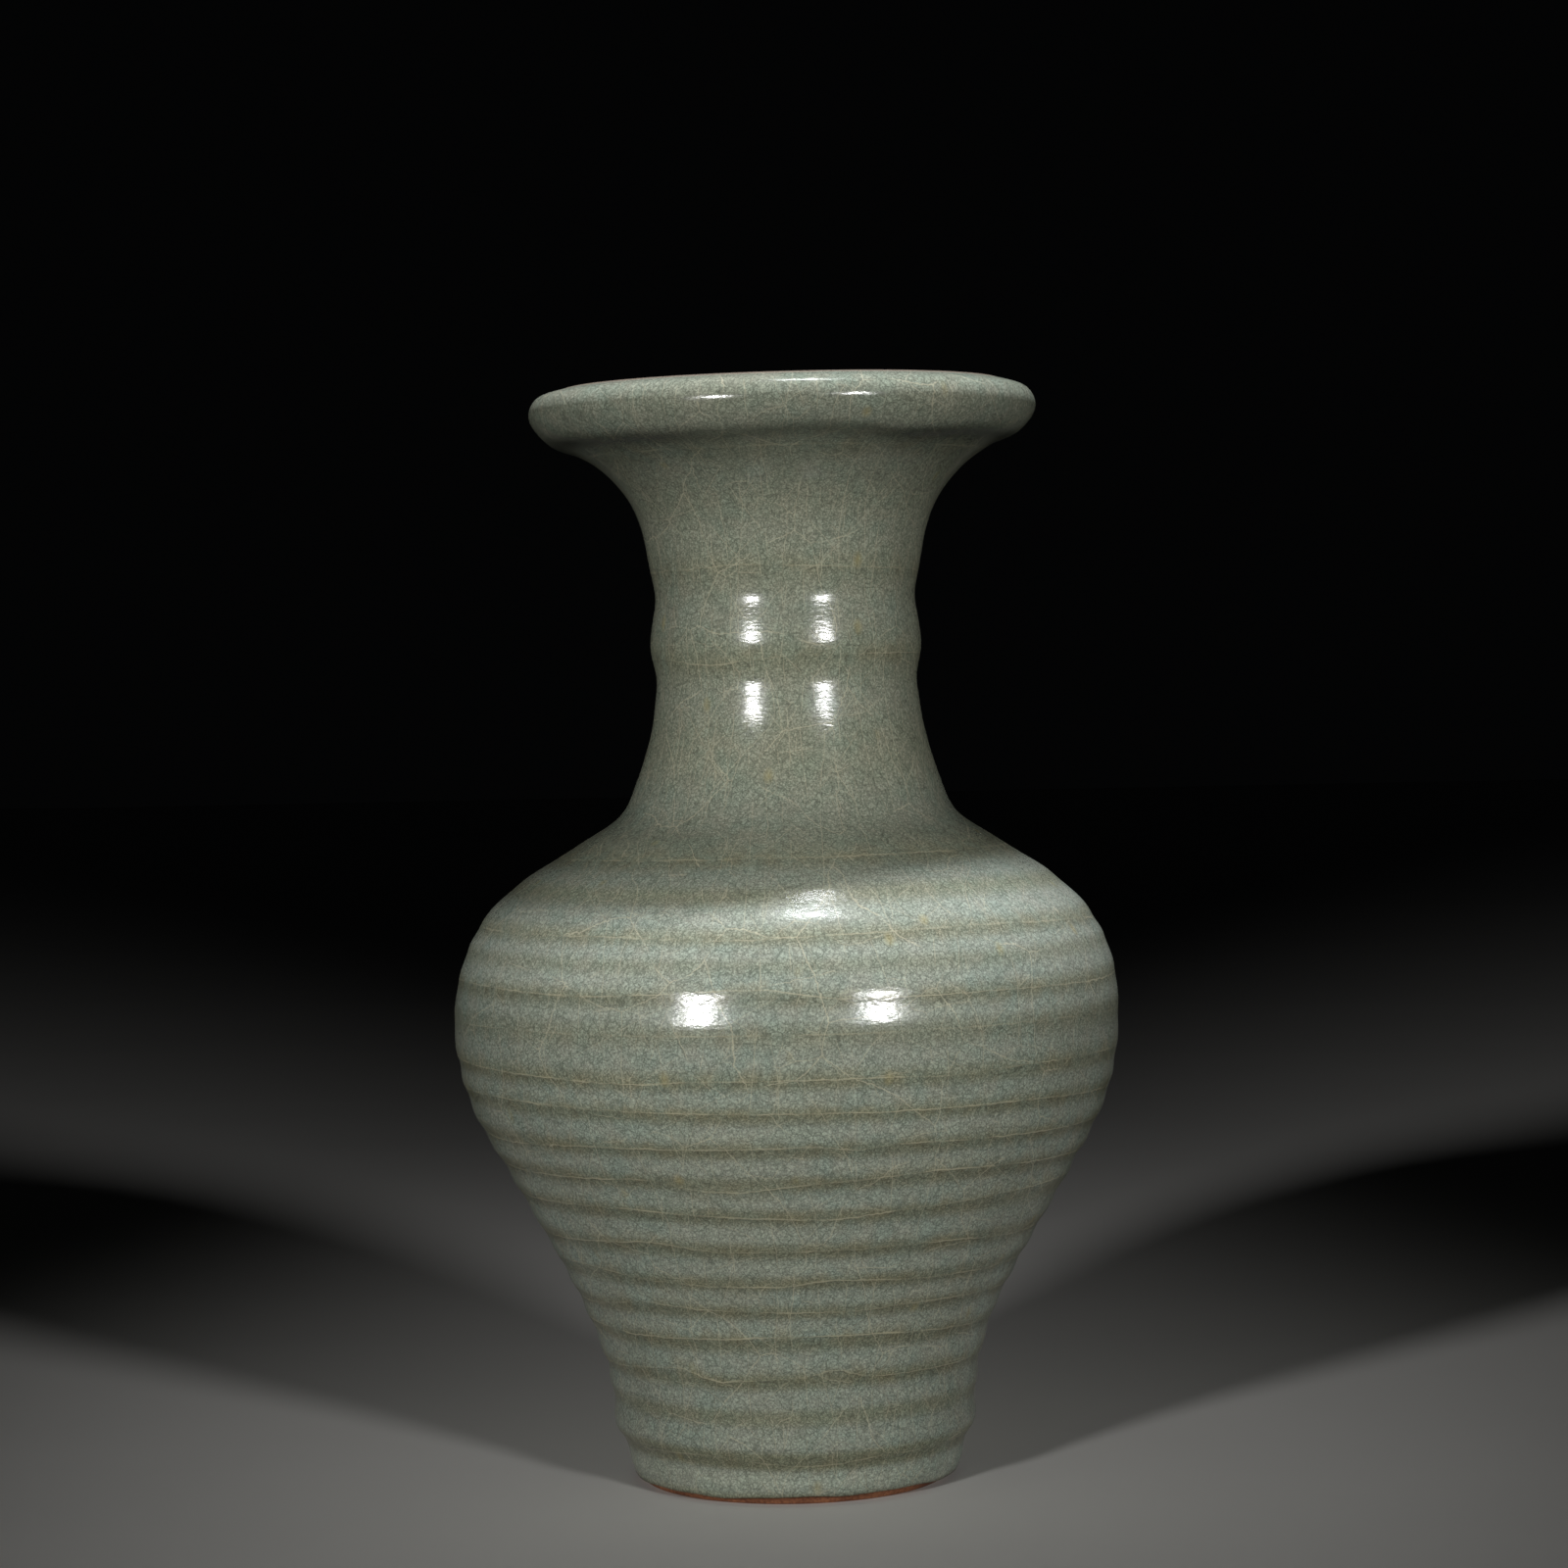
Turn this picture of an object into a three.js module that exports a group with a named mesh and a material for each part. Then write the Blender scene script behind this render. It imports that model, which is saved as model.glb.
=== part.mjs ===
// A dish-mouth vase in crackled celadon: a thrown stoneware body in five clay sections,
// the slip that joins them, and the three coats of glaze that cover them.
// Millimetres, +Z up. The origin is the centre of the foot, on the surface it stands on.

import * as THREE from 'three';

// Driving dimensions
const HEIGHT = 300;
const LIP_RADIUS = 69.9;
const CREST_RADIUS = 60.5;
const NECK_RADIUS = 36.2;
const NECK_RING_RADIUS = 37.5;
const BELLY_RADIUS = 91.5;
const BELLY_HEIGHT = 125;
const WAIST_RADIUS = 50;
const GLAZE = 1;
const BODY_WALL = 6;
const SLIP = 1;

// A hair of space between a glaze coat and the clay behind it, so that neither cuts the other
const HAIR = 0.03;

// The foot: a ring of bare clay around a glazed recess
const FOOT_OUTER_RADIUS = 42;
const FOOT_INNER_RADIUS = 35;
const FOOT_ROOT_RADIUS = 33.5;
const FOOT_BEVEL = 0.8;
const RECESS_DEPTH = 8;
const FLOOR_THICKNESS = 8;
const GLAZE_LINE = 2.2;
const RECESS_GLAZE_LINE = 3;

// Facets around the axis, and steps between two knots of an outline
const AROUND = 32;
const STEPS = 2;

// Heights and radii that follow from the ones above
const WALL = BODY_WALL + 2 * GLAZE;
const CLAY_FLOOR_UNDERSIDE = RECESS_DEPTH + GLAZE;
const CLAY_FLOOR_TOP = CLAY_FLOOR_UNDERSIDE + FLOOR_THICKNESS;
const GLAZED_FLOOR = CLAY_FLOOR_TOP + GLAZE;
const FOOT_RING_TOP = CLAY_FLOOR_UNDERSIDE - SLIP;
const BORE_RADIUS = 28.4;

// Knots of the glazed outside, from the glaze line at the foot to the crest of the lip,
// each one radius and height
const OUTSIDE = [
  [44.5, GLAZE_LINE],
  [47.3, 9.5],
  [WAIST_RADIUS, 18],
  [50.7, 27],
  [52.8, 36],
  [56.8, 47],
  [62.5, 58.5],
  [76.3, 83],
  [87.6, 104.5],
  [BELLY_RADIUS, BELLY_HEIGHT],
  [89.2, 143],
  [82.1, 156.5],
  [72.1, 165.5],
  [57.5, 174.8],
  [46.2, 182.7],
  [42, 192],
  [37.8, 205.6],
  [NECK_RADIUS, 218],
  [NECK_RING_RADIUS, 228],
  [NECK_RADIUS, 239.5],
  [37.5, 251],
  [39.4, 260],
  [43.2, 269.2],
  [50, 277.3],
  [58, 282.8],
  [65.2, 286],
  [LIP_RADIUS, 292],
  [67.5, 297.2],
  [CREST_RADIUS, HEIGHT],
];
const BELLY_KNOT = 9;
const SHOULDER_KNOT = 14;
const MOUTH_KNOT = 21;

// Knots of the glazed inside, from the middle of the floor to the crest of the lip
const INSIDE = [
  [0, GLAZED_FLOOR],
  [29, GLAZED_FLOOR + 1],
  [41.5, 27],
  [45.6, 39],
  [55.4, 62],
  [69.2, 86.8],
  [80.4, 108.7],
  [BELLY_RADIUS - WALL, BELLY_HEIGHT],
  [75.1, 151.8],
  [57.7, 164.8],
  [39.5, 177.6],
  [BORE_RADIUS + 1.4, 203],
  [BORE_RADIUS, 226],
  [BORE_RADIUS + 0.5, 244],
  [31.6, 262.5],
  [38, 276.5],
  [46.5, 283.8],
  [53.4, 289.4],
  [55.6, 296],
  [CREST_RADIUS, HEIGHT],
];
const INNER_BELLY_KNOT = 7;
const INNER_SHOULDER_KNOT = 10;
const INNER_MOUTH_KNOT = 14;

// A smooth curve through the knots, as a function of the knot number
function outlineCurve(knots) {
  const points = knots.map(([radius, height]) => new THREE.Vector3(radius, height, 0));
  return new THREE.CatmullRomCurve3(points, false, 'centripetal');
}

// The knot number that lies half a slip seam beyond a knot, or short of it with a side of -1
function seamEdge(curve, knotCount, knot, side) {
  const last = knotCount - 1;
  const nudge = 0.01;
  const here = curve.getPoint(knot / last);
  const there = curve.getPoint((knot + side * nudge) / last);
  return knot + (side * nudge * SLIP) / (2 * here.distanceTo(there));
}

// Knot numbers where an outline has a point: every knot but the seams, the steps between them,
// and both edges of each slip seam
function stations(curve, knotCount, seamKnots) {
  const numbers = [];
  for (let step = 0; step <= (knotCount - 1) * STEPS; step += 1) {
    const number = step / STEPS;
    if (seamKnots.includes(number)) {
      numbers.push(seamEdge(curve, knotCount, number, -1));
      numbers.push(seamEdge(curve, knotCount, number, 1));
    } else {
      numbers.push(number);
    }
  }
  return numbers;
}

// The points of an outline at its stations
function pointsAt(curve, knotCount, numbers) {
  return numbers.map((number) => {
    const point = curve.getPoint(number / (knotCount - 1));
    return new THREE.Vector2(Math.max(point.x, 0), point.y);
  });
}

// The outline moved sideways by a thickness, to the left of its direction, or to the right
// when negative.
// Its two ends move along the given directions, so that coats meet there in one line.
function shifted(points, thickness, firstDirection, lastDirection) {
  return points.map((point, index) => {
    let direction;
    if (index === 0) {
      direction = firstDirection;
    } else if (index === points.length - 1) {
      direction = lastDirection;
    } else {
      const along = points[index + 1].clone().sub(points[index - 1]).normalize();
      direction = new THREE.Vector2(-along.y, along.x).multiplyScalar(Math.sign(thickness));
    }
    return point.clone().addScaledVector(direction, Math.abs(thickness));
  });
}

const INWARD = new THREE.Vector2(-1, 0);
const DOWNWARD = new THREE.Vector2(0, -1);

const outsideCurve = outlineCurve(OUTSIDE);
const outsideSeams = [BELLY_KNOT, SHOULDER_KNOT, MOUTH_KNOT];
const outsideStations = stations(outsideCurve, OUTSIDE.length, outsideSeams);
const glazeOutside = pointsAt(outsideCurve, OUTSIDE.length, outsideStations);

const insideCurve = outlineCurve(INSIDE);
const insideSeams = [INNER_BELLY_KNOT, INNER_SHOULDER_KNOT, INNER_MOUTH_KNOT];
const insideStations = stations(insideCurve, INSIDE.length, insideSeams);
const glazeInside = pointsAt(insideCurve, INSIDE.length, insideStations);

const clayOutside = shifted(glazeOutside, GLAZE + HAIR, INWARD, DOWNWARD);
const clayInside = shifted(glazeInside, -GLAZE - HAIR, DOWNWARD, DOWNWARD);

// The clay outside has one more point where the foot ring ends and one where its slip ends
function pointAtHeight(points, height) {
  const above = points.findIndex((point) => point.y > height);
  const below = points[above - 1];
  const part = (height - below.y) / (points[above].y - below.y);
  return below.clone().lerp(points[above], part);
}

function withHeights(points, heights) {
  const extra = heights.map((height) => pointAtHeight(points, height));
  return [...points, ...extra].sort((one, other) => one.y - other.y);
}

const firstAboveFloor = clayOutside.findIndex((point) => point.y > GLAZED_FLOOR);
const footStretch = withHeights(
  clayOutside.slice(0, firstAboveFloor),
  [FOOT_RING_TOP, CLAY_FLOOR_UNDERSIDE],
);
const clayWall = [...footStretch, ...clayOutside.slice(firstAboveFloor)];

// Places along the clay where one section ends and the slip seam above it begins
const footRingEnd = clayWall.findIndex((point) => point.y === FOOT_RING_TOP);
const floorStart = clayWall.findIndex((point) => point.y === CLAY_FLOOR_UNDERSIDE);
const added = clayWall.length - clayOutside.length;

function outsideSeam(knot) {
  const edge = seamEdge(outsideCurve, OUTSIDE.length, knot, -1);
  return outsideStations.indexOf(edge) + added;
}

function insideSeam(knot) {
  const edge = seamEdge(insideCurve, INSIDE.length, knot, -1);
  return insideStations.indexOf(edge);
}

const belly = { outside: outsideSeam(BELLY_KNOT), inside: insideSeam(INNER_BELLY_KNOT) };
const shoulder = { outside: outsideSeam(SHOULDER_KNOT), inside: insideSeam(INNER_SHOULDER_KNOT) };
const mouth = { outside: outsideSeam(MOUTH_KNOT), inside: insideSeam(INNER_MOUTH_KNOT) };
const crest = { outside: clayWall.length - 1, inside: clayInside.length - 1 };

// A solid turned around the axis from an outline given counterclockwise.
// An outline that isn't on the axis closes on itself.
function turned(outline) {
  const points = outline.map((point) => point.clone());
  const onAxis = points[0].x === 0 && points[points.length - 1].x === 0;
  if (!onAxis) {
    points.push(points[0].clone());
  }
  const geometry = new THREE.LatheGeometry(points, AROUND);
  geometry.rotateX(Math.PI / 2);
  return geometry;
}

// A section of the wall between two places: up its outside and down its inside
function wallBetween(low, high) {
  const up = clayWall.slice(low.outside, high.outside + 1);
  const down = clayInside.slice(low.inside, high.inside + 1).reverse();
  return turned([...up, ...down]);
}

function oneStepUp(place) {
  return { outside: place.outside + 1, inside: place.inside + 1 };
}

// The lower body is thrown with its floor, so its outline starts and ends on the axis
function lowerBody() {
  const underside = [new THREE.Vector2(0, CLAY_FLOOR_UNDERSIDE)];
  underside.push(new THREE.Vector2(FOOT_ROOT_RADIUS, CLAY_FLOOR_UNDERSIDE));
  const up = clayWall.slice(floorStart, belly.outside + 1);
  const down = clayInside.slice(0, belly.inside + 1).reverse();
  down[down.length - 1].x = 0;
  return turned([...underside, ...up, ...down]);
}

// The inner side of the foot ring leans in from the ground to its root
function ringInside(height) {
  const part = height / FOOT_RING_TOP;
  const radius = FOOT_INNER_RADIUS + (FOOT_ROOT_RADIUS - FOOT_INNER_RADIUS) * part;
  return new THREE.Vector2(radius, height);
}

function footRing() {
  return turned([
    new THREE.Vector2(FOOT_INNER_RADIUS, 0),
    new THREE.Vector2(FOOT_OUTER_RADIUS - FOOT_BEVEL, 0),
    new THREE.Vector2(FOOT_OUTER_RADIUS, FOOT_BEVEL),
    ...clayWall.slice(0, footRingEnd + 1),
    ringInside(FOOT_RING_TOP),
    ringInside(RECESS_GLAZE_LINE),
  ]);
}

function footSlip() {
  return turned([
    new THREE.Vector2(FOOT_ROOT_RADIUS, FOOT_RING_TOP),
    clayWall[footRingEnd],
    clayWall[floorStart],
    new THREE.Vector2(FOOT_ROOT_RADIUS, CLAY_FLOOR_UNDERSIDE),
  ]);
}

// The glaze of the recess covers the floor's underside and runs down the ring to its own line
function baseGlaze() {
  const edge = ringInside(RECESS_GLAZE_LINE);
  const corner = ringInside(FOOT_RING_TOP);
  return turned([
    new THREE.Vector2(0, RECESS_DEPTH),
    new THREE.Vector2(corner.x - 2 * GLAZE, RECESS_DEPTH),
    new THREE.Vector2(corner.x - GLAZE, RECESS_DEPTH - GLAZE),
    new THREE.Vector2(edge.x - GLAZE, edge.y),
    edge,
    corner,
    new THREE.Vector2(FOOT_ROOT_RADIUS, CLAY_FLOOR_UNDERSIDE),
    new THREE.Vector2(0, CLAY_FLOOR_UNDERSIDE),
  ]);
}

// The outer coat has the clay of every section and seam behind it, up to the crest
function outerGlaze() {
  const back = shifted(glazeOutside, GLAZE, INWARD, DOWNWARD);
  return turned([...glazeOutside, ...back.reverse()]);
}

function innerGlaze() {
  const back = shifted(glazeInside, -GLAZE, DOWNWARD, DOWNWARD);
  const face = glazeInside.slice().reverse();
  return turned([...back, ...face]);
}

const FOOT_CLAY = { color: 0x7d4a32, roughness: 0.85, metalness: 0 };
const BODY_CLAY = { color: 0x9a8f80, roughness: 0.9, metalness: 0 };
const SEAM_SLIP = { color: 0xaaa193, roughness: 0.9, metalness: 0 };
const CELADON = { color: 0x8b9787, roughness: 0.15, metalness: 0 };
const INNER_CELADON = { color: 0x8f9a8c, roughness: 0.2, metalness: 0 };
const BASE_CELADON = { color: 0x8a9486, roughness: 0.2, metalness: 0 };

const vase = new THREE.Group();

function addPiece(name, geometry, finish) {
  const piece = new THREE.Mesh(geometry, new THREE.MeshStandardMaterial(finish));
  piece.name = name;
  vase.add(piece);
}

addPiece('foot_ring', footRing(), FOOT_CLAY);
addPiece('lower_body', lowerBody(), BODY_CLAY);
addPiece('upper_body', wallBetween(oneStepUp(belly), shoulder), BODY_CLAY);
addPiece('neck', wallBetween(oneStepUp(shoulder), mouth), BODY_CLAY);
addPiece('dish_mouth', wallBetween(oneStepUp(mouth), crest), BODY_CLAY);
addPiece('foot_slip', footSlip(), SEAM_SLIP);
addPiece('belly_slip', wallBetween(belly, oneStepUp(belly)), SEAM_SLIP);
addPiece('shoulder_slip', wallBetween(shoulder, oneStepUp(shoulder)), SEAM_SLIP);
addPiece('mouth_slip', wallBetween(mouth, oneStepUp(mouth)), SEAM_SLIP);
addPiece('outer_glaze', outerGlaze(), CELADON);
addPiece('inner_glaze', innerGlaze(), INNER_CELADON);
addPiece('base_glaze', baseGlaze(), BASE_CELADON);

export default vase;
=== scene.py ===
# The looks of a dish-mouth vase in crackled celadon, thrown by hand in stoneware.
# Outlines are in millimetres, as a potter's template. Objects are in metres.

import math

import bpy
import numpy as np
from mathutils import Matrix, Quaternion, Vector


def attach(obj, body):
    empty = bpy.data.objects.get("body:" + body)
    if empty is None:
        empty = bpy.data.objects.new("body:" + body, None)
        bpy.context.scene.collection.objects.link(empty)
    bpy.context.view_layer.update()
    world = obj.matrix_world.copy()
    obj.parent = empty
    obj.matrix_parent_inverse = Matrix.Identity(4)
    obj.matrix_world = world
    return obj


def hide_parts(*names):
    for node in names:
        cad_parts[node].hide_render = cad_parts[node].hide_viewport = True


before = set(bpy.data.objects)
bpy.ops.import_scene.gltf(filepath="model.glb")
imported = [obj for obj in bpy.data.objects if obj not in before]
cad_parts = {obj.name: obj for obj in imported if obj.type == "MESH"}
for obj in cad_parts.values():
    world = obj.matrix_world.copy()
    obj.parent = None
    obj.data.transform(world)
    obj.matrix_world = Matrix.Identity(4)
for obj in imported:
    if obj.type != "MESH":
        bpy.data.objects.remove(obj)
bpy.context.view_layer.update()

MM = 0.001

# The template of the pot, each knot one radius and height in millimetres
GLAZE = 1.0
CLAY_GAP = 0.03
SLIP = 1.0
HEIGHT = 300.0
CREST_RADIUS = 60.5
OUTSIDE = (
    (44.5, 2.2), (47.3, 9.5), (50, 18), (50.7, 27), (52.8, 36), (56.8, 47), (62.5, 58.5), (76.3, 83),
    (87.6, 104.5), (91.5, 125), (89.2, 143), (82.1, 156.5), (72.1, 165.5), (57.5, 174.8), (46.2, 182.7),
    (42, 192), (37.8, 205.6), (36.6, 213.9), (36.2, 219.3), (37.5, 227.8), (37.05, 233.8), (36.1, 240.3),
    (36.1, 242.7), (37.3, 249.3), (39.4, 260), (43.2, 269.2), (50, 277.3), (58, 282.8), (65.2, 286),
    (69.8, 292.6), (67.9, 297.4), (CREST_RADIUS, HEIGHT),
)
INSIDE = (
    (0, 18), (29, 19), (41.5, 27), (45.6, 39), (55.4, 62), (69.2, 86.8), (80.4, 108.7), (83.5, 125),
    (75.1, 151.8), (57.7, 164.8), (39.5, 177.6), (29.8, 203), (28.4, 226), (28.9, 244), (31.6, 262.5),
    (38, 276.5), (46.5, 283.8), (53.4, 289.4), (55.6, 296), (CREST_RADIUS, HEIGHT),
)

# Where the thrown sections meet, as heights on the outside and on the inside
BELLY_SEAM = (125, 125)
SHOULDER_SEAM = (182.7, 177.6)
MOUTH_SEAM = (260, 262.5)

# The foot: a bare ring around a glazed recess
GROUND_OUTER = 42.0
GROUND_INNER = 35.0
GROUND_ROUNDING = 0.9
INNER_BEVEL_WIDTH = 0.6
INNER_BEVEL_HEIGHT = 0.8
CLAY_BARE_BELOW = 2.3
FOOT_ROOT = 33.5
FOOT_RING_TOP = 8.0
FLOOR_UNDERSIDE = 9.0
RECESS_ROOF = 8.0
RECESS_GLAZE_LINE = 3.0
RECESS_MIDWAY = 16

# The throwing rings, from the foot up, each a height and a swell in millimetres. They run level. The
# surface faces down most at this height, with the ring's crest above it and its groove below it.
THROWING_RINGS = (
    (0.5, 0.5), (12.9, 0.6), (25.1, 0.32), (34.5, 0.3), (45, 0.3), (54, 0.26), (62, 0.26), (71.1, 0.28),
    (80.9, 0.27), (90.2, 0.26), (99.1, 0.26), (108.6, 0.24), (117.3, 0.2), (129.5, 0.08), (138.5, 0.12),
    (147, 0.12), (153.7, 0.15), (164, 0.24), (172.5, 0.1), (201, 0.04), (225, 0.1), (249.5, 0.04),
    (267, 0.05),
)

# The share of the way to the next ring at which the crest is, and the groove before the ring
CREST_AT = 0.2

# The swell of a plain ring
PLAIN_SWELL = 0.3

# The golden cracks that follow the rings, from the foot up. Each has how clear it is, and points
# along it: an angle in degrees from the front, positive to the right, and a height.
GOLDEN_LINES = (
    (0.6, ((-88, 13), (-57, 12.6), (-32, 13.8), (-2, 11.2), (8, 10.9), (28, 12.9), (88, 13.5))),
    (1, ((-68, 34.8), (-32, 37.8), (-25, 34.1), (6, 36.1), (12, 38.5), (21, 35), (43, 35.1), (88, 35))),
    (1, ((-66, 46.3), (-49, 45.5), (-25, 46.2), (0, 47.3), (25, 47), (68, 44.7))),
    (0.9, ((-66, 52.1), (-40, 55.9), (-28, 55), (-17, 54.4), (17, 53.7), (31, 54.9), (65, 54.4))),
    (1, ((-56, 64.4), (-37, 62.2), (-22, 61.2), (0, 61.3), (7, 63.2), (34, 61.5), (80, 61.5))),
    (1, ((-61, 70.9), (-30, 73.6), (-18, 71.2), (6, 71.4), (36, 71.9), (57, 70.2))),
    (1, ((-69, 81.7), (-33, 82.5), (-14, 81.2), (9, 80), (22, 81.9), (51, 83.9), (66, 84.4))),
    (1, ((-65, 89.5), (-41, 90.2), (-27, 91.3), (-18, 88), (-9, 87.9), (4, 90.3), (28, 92.4), (80, 90))),
    (1, ((-63, 97.7), (-38, 99.5), (-16, 99.7), (8, 100.6), (11, 97.8), (17, 100.5), (47, 99.7))),
    (1, ((-63, 110.6), (-29, 109.6), (-3, 109.3), (20, 109), (42, 109.1), (77, 107.5))),
    (0.9, ((-88, 118.6), (-23, 116.5), (-17, 117.5), (15, 118.1), (27, 117.1), (41, 118.5))),
    (0.4, ((-88, 128.4), (-60, 129), (0, 129.5), (60, 129.6), (88, 128))),
    (0.8, ((-70, 139.5), (-36, 138.5), (-4, 141.2), (9, 137.8), (23, 138.1), (41, 138.2), (72, 137.4))),
    (0.6, ((-82, 153), (-33, 153.8), (-12, 152.8), (9, 154), (35, 155.1), (88, 153))),
    (0.7, ((-74, 171.5), (-1, 172.7), (65, 173.1))),
    (0.6, ((-63, 225.3), (-47, 223.8), (-31, 223.4), (-15, 224.5), (0, 225.4), (15, 225.7), (65, 225.9))),
    (0.5, ((-47, 248.8), (-18, 249.8), (7, 249.2), (39, 248.5))),
    (0.5, ((-60, 281), (0, 281), (60, 281))),
)

# Rings and lines are counted from one place below the foot to one above the lip
BELOW_FOOT = -8.0
ABOVE_LIP = HEIGHT + 12

# The corners of a golden line's track are rounded with a bell curve of this width, which is cut off
# at this reach, both in degrees
LINE_BLUR = 4
LINE_BLUR_REACH = 12

# How far the pot's centre wanders off its axis to the right, by height, in millimetres
CENTRE_WANDER = (
    (0, 0.6), (25, 0.2), (45, -0.3), (65, 0.15), (85, 0.5), (105, 0.2), (125, -0.15), (145, 0.4), (160, 0.5),
    (172, 1.1), (185, 1.6), (205, 1.9), (230, 1.7), (255, 1.8), (275, 2), (300, 1.8),
)

# How much smaller in radius the settled pot is, which keeps its rings inside the template
DRAWN_IN = 0.45

# The middle heights of the crease under the lip, and of the edge where the glaze ends above the foot
LIP_CREASE = 284
GLAZE_HEM = 2.6

# Facets around the axis of the pieces that show, and of those under the glaze
FINE_AROUND = 240
HIDDEN_AROUND = 96

# The spacing of points along an outline, in millimetres
FINE_STEP = 1.3
INSIDE_STEP = 2.4
BACK_STEP = 6.0
HIDDEN_STEP = 5.0
FOOT_STEP = 0.9
POINTS_PER_KNOT = 40

# Two heights or points nearer than these are the same, in millimetres
SAME_HEIGHT = 0.05
SAME_POINT = 0.01
WELD = 0.004


def curve_through(knots):
    """A smooth line through the knots, closely spaced, as rows of radius and height."""
    knots = np.array(knots, float)
    before = 2 * knots[0] - knots[1]
    after = 2 * knots[-1] - knots[-2]
    row = np.vstack([before, knots, after])
    pieces = []
    for index in range(1, len(row) - 2):
        a, b, c, d = row[index - 1:index + 3]
        ab = math.sqrt(math.dist(a, b))
        bc = math.sqrt(math.dist(b, c))
        cd = math.sqrt(math.dist(c, d))
        leave = ((b - a) / ab - (c - a) / (ab + bc) + (c - b) / bc) * bc
        reach = ((c - b) / bc - (d - b) / (bc + cd) + (d - c) / cd) * bc
        u = np.linspace(0, 1, POINTS_PER_KNOT, endpoint=False)[:, None]
        pieces.append(b + leave * u + (3 * (c - b) - 2 * leave - reach) * u ** 2
                      + (2 * (b - c) + leave + reach) * u ** 3)
    pieces.append(knots[-1:])
    line = np.vstack(pieces)
    line[:, 0] = np.maximum(line[:, 0], 0)
    return line


def spaced(line, step):
    """The same line with its points a step apart."""
    lengths = np.hypot(*np.diff(line, axis=0).T)
    along = np.concatenate([[0], np.cumsum(lengths)])
    count = max(2, int(round(along[-1] / step)) + 1)
    marks = np.linspace(0, along[-1], count)
    return np.column_stack([np.interp(marks, along, line[:, 0]), np.interp(marks, along, line[:, 1])])


def spaced_corners(line, step):
    """The line with points added along its long stretches, its corners kept."""
    rows = []
    for start, end in zip(line[:-1], line[1:]):
        count = max(1, int(math.dist(start, end) / step))
        for number in range(count):
            rows.append(start + (end - start) * number / count)
    rows.append(line[-1])
    return np.array(rows)


def moved_aside(line, distance, first, last):
    """The line moved to its left by a distance. Its ends move the given way."""
    slope = np.gradient(line, axis=0)
    slope /= np.hypot(slope[:, 0], slope[:, 1])[:, None]
    side = np.column_stack([-slope[:, 1], slope[:, 0]]) * np.sign(distance)
    side[0] = first
    side[-1] = last
    moved = line + side * abs(distance)
    moved[:, 0] = np.maximum(moved[:, 0], 0)
    return moved


def between_heights(line, low, high):
    """The stretch of a rising line between two heights, with a point at each."""
    keep = line[(line[:, 1] > low + SAME_HEIGHT) & (line[:, 1] < high - SAME_HEIGHT)]
    ends = [[np.interp(height, line[:, 1], line[:, 0]), height] for height in (low, high)]
    return np.vstack([ends[:1], keep, ends[1:]])


def above(line, height):
    """The stretch of a rising line above a height, with a point there."""
    start = np.interp(height, line[:, 1], line[:, 0])
    return np.vstack([[start, height], line[line[:, 1] > height + SAME_HEIGHT]])


def below(line, height):
    """The stretch of a rising line below a height, with a point there."""
    end = np.interp(height, line[:, 1], line[:, 0])
    return np.vstack([line[line[:, 1] < height - SAME_HEIGHT], [[end, height]]])


def closed(*lines):
    """Lines joined end to end. One that doesn't start on the axis returns to its first point."""
    line = np.vstack(lines)
    apart = np.hypot(*np.diff(line, axis=0).T) > SAME_POINT
    line = line[np.concatenate([[True], apart])]
    if line[0, 0] > 0 and math.dist(line[0], line[-1]) > SAME_POINT:
        line = np.vstack([line, line[:1]])
    return line


outside = curve_through(OUTSIDE)
inside = curve_through(INSIDE)


# How the real pot differs from its template


def line_heights(angle):
    """The height of every golden line at each angle, one row for a line. Behind, where no line
    was traced, each drifts a little on its own."""
    degrees = np.arange(-180, 180)
    blur = np.exp(-(np.arange(-LINE_BLUR_REACH, LINE_BLUR_REACH + 1) / LINE_BLUR) ** 2)
    blur /= blur.sum()
    behind = (1 - np.cos(angle)) / 2
    rows = []
    for number, (_, points) in enumerate(GOLDEN_LINES):
        at, heights = zip(*points)
        track = np.interp(degrees, at, heights, period=360)
        track = np.concatenate([track[-LINE_BLUR_REACH:], track, track[:LINE_BLUR_REACH]])
        track = np.convolve(track, blur, "valid")
        drift = 1.3 * np.sin(3 * angle + 2.4 * number) + 0.8 * np.sin(5 * angle + 1.1 * number)
        rows.append(np.interp(np.degrees(angle), degrees, track, period=360) + behind ** 2 * drift)
    return np.array(rows)


def line_place(angle, height):
    """For each point: the level, a number that is whole on each golden line, the spacing of the
    lines there, and how clear the nearest line is."""
    lowest = np.full((1, len(angle)), BELOW_FOOT)
    highest = np.full((1, len(angle)), ABOVE_LIP)
    lines = np.vstack([lowest, line_heights(angle), highest])
    level = np.zeros(len(angle))
    gap = np.zeros(len(angle))
    for number in range(len(lines) - 1):
        low = lines[number]
        high = lines[number + 1]
        here = (height >= low) & (height < high)
        level[here] = number + ((height - low) / (high - low))[here]
        gap[here] = (high - low)[here]
    clearness = np.array([0, *(line[0] for line in GOLDEN_LINES), 0])
    nearest = np.clip(np.round(level).astype(int), 0, len(clearness) - 1)
    return level, gap, clearness[nearest]


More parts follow.
